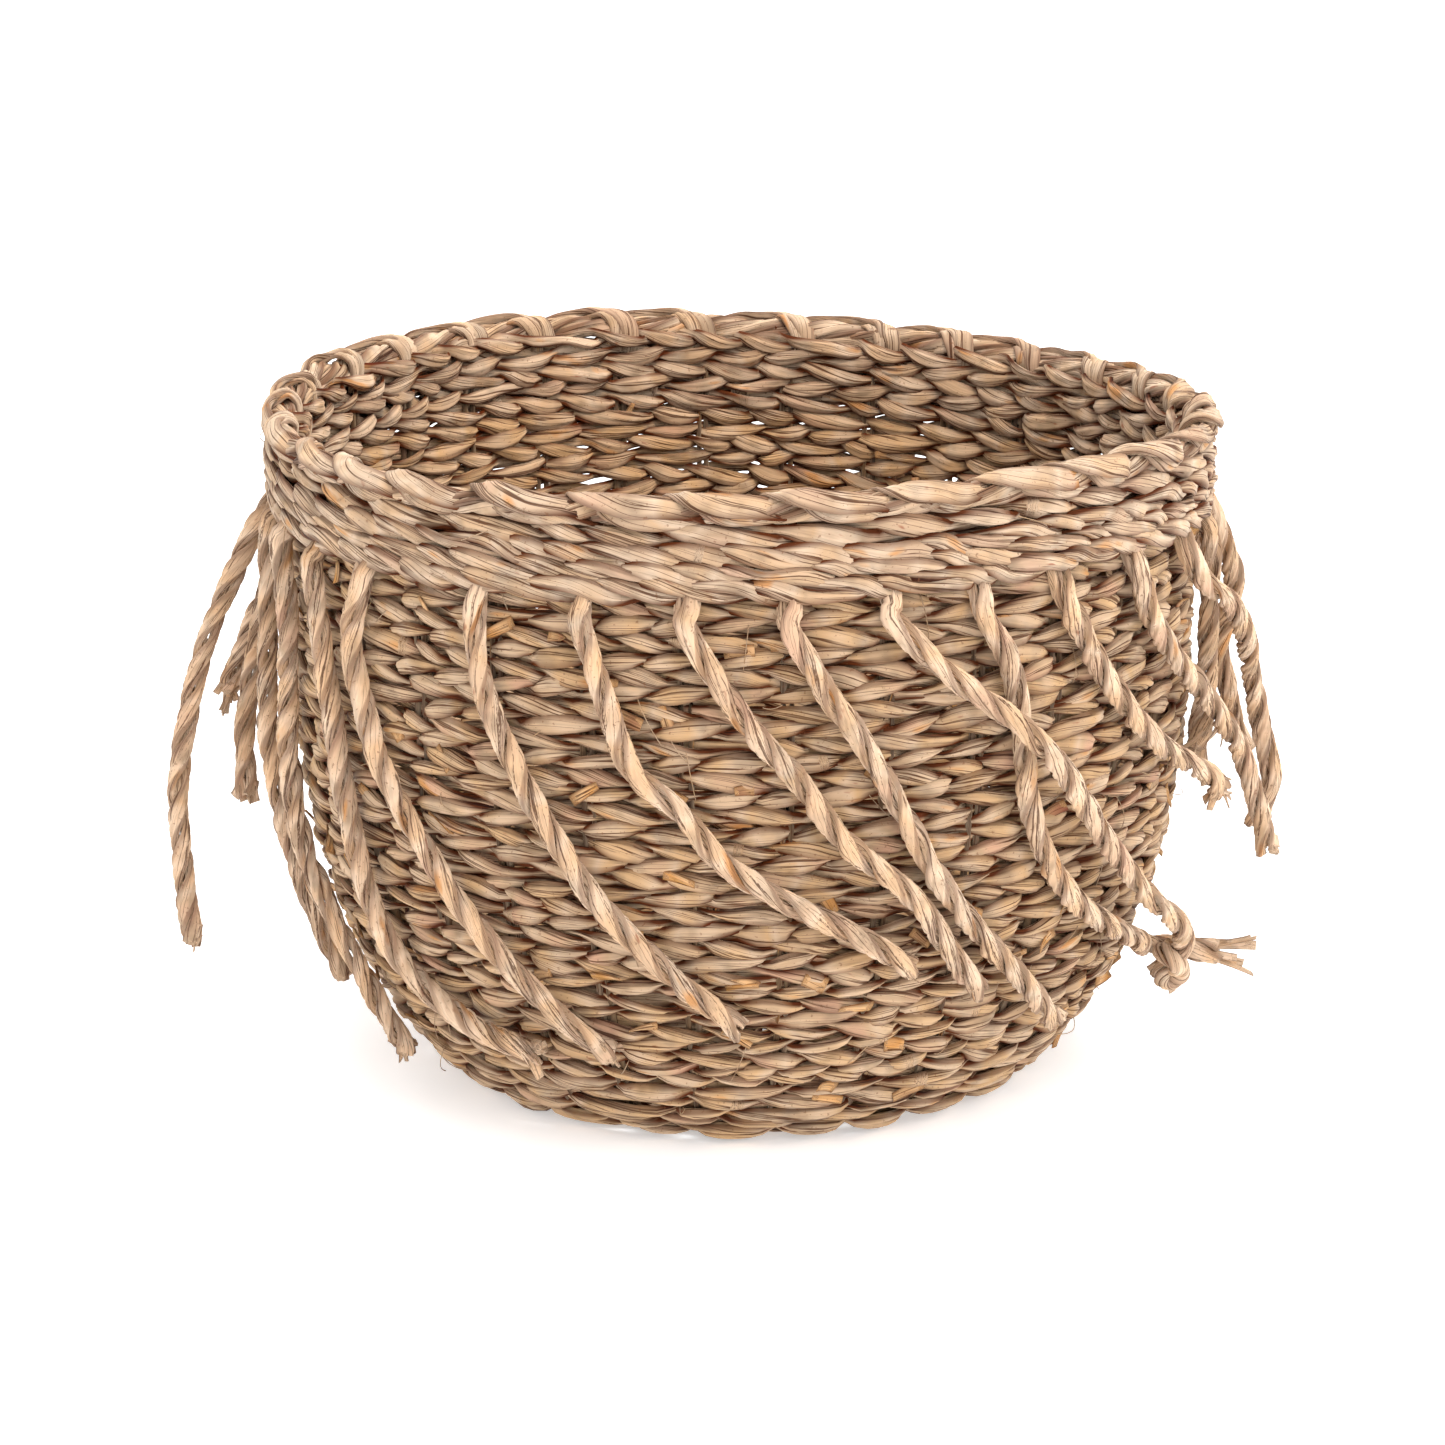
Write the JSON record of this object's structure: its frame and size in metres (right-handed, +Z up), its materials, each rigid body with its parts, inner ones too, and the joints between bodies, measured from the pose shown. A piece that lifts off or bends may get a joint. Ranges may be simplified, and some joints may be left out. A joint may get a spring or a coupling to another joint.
{
  "type": "seagrass storage basket",
  "caption": "Round open storage basket of twined seagrass, rounded into a flat base, with a thicker rim band and a fringe of twisted seagrass cords.",
  "frame": {"origin": "centre of the underside, on the ground", "axes": "+Z up along the axis of the round basket, -Y towards the front"},
  "size_m": [0.3611, 0.3049, 0.2148],
  "materials": {
    "wall_weft": "dry twisted seagrass, matt with a faint satin sheen",
    "rim_weft": "dry twisted seagrass, paler straw, matt with a faint satin sheen",
    "border": "twisted seagrass, pale straw, matt",
    "base_weft": "dry twisted seagrass, matt",
    "stakes": "bundled seagrass stalks, matt, in the shade of the weave",
    "fringe_cord": "two-ply twisted seagrass cord, matt with a faint satin sheen"
  },
  "bodies": {
    "root": {"base_under_centre": "base_weft", "base_under_rounds": "base_weft", "base_inside_centre": "base_weft", "base_inside_rounds": "base_weft", "stake_cage": "stakes", "wall_course_1": "wall_weft", "wall_course_2": "wall_weft", "wall_course_3": "wall_weft", "wall_course_4": "wall_weft", "wall_course_5": "wall_weft", "rim_band_1": "rim_weft", "rim_band_2": "rim_weft", "rim_border": "border", "fringe_cord_01": "fringe_cord", "fringe_cord_02": "fringe_cord", "fringe_cord_03": "fringe_cord", "fringe_cord_04": "fringe_cord", "fringe_cord_05": "fringe_cord", "fringe_cord_06": "fringe_cord", "fringe_cord_07": "fringe_cord", "fringe_cord_08": "fringe_cord", "fringe_cord_09": "fringe_cord", "fringe_cord_10": "fringe_cord", "fringe_cord_11": "fringe_cord", "fringe_cord_12": "fringe_cord", "fringe_cord_13": "fringe_cord", "fringe_cord_14": "fringe_cord", "fringe_cord_15": "fringe_cord", "fringe_cord_16": "fringe_cord", "fringe_cord_17": "fringe_cord", "fringe_cord_18": "fringe_cord", "fringe_cord_19": "fringe_cord", "fringe_cord_20": "fringe_cord", "fringe_cord_21": "fringe_cord", "fringe_cord_22": "fringe_cord", "fringe_cord_23": "fringe_cord", "fringe_cord_24": "fringe_cord", "fringe_cord_25": "fringe_cord", "fringe_cord_26": "fringe_cord", "fringe_cord_27": "fringe_cord", "fringe_cord_28": "fringe_cord", "fringe_cord_29": "fringe_cord", "fringe_cord_30": "fringe_cord"}
  },
  "joints": []
}
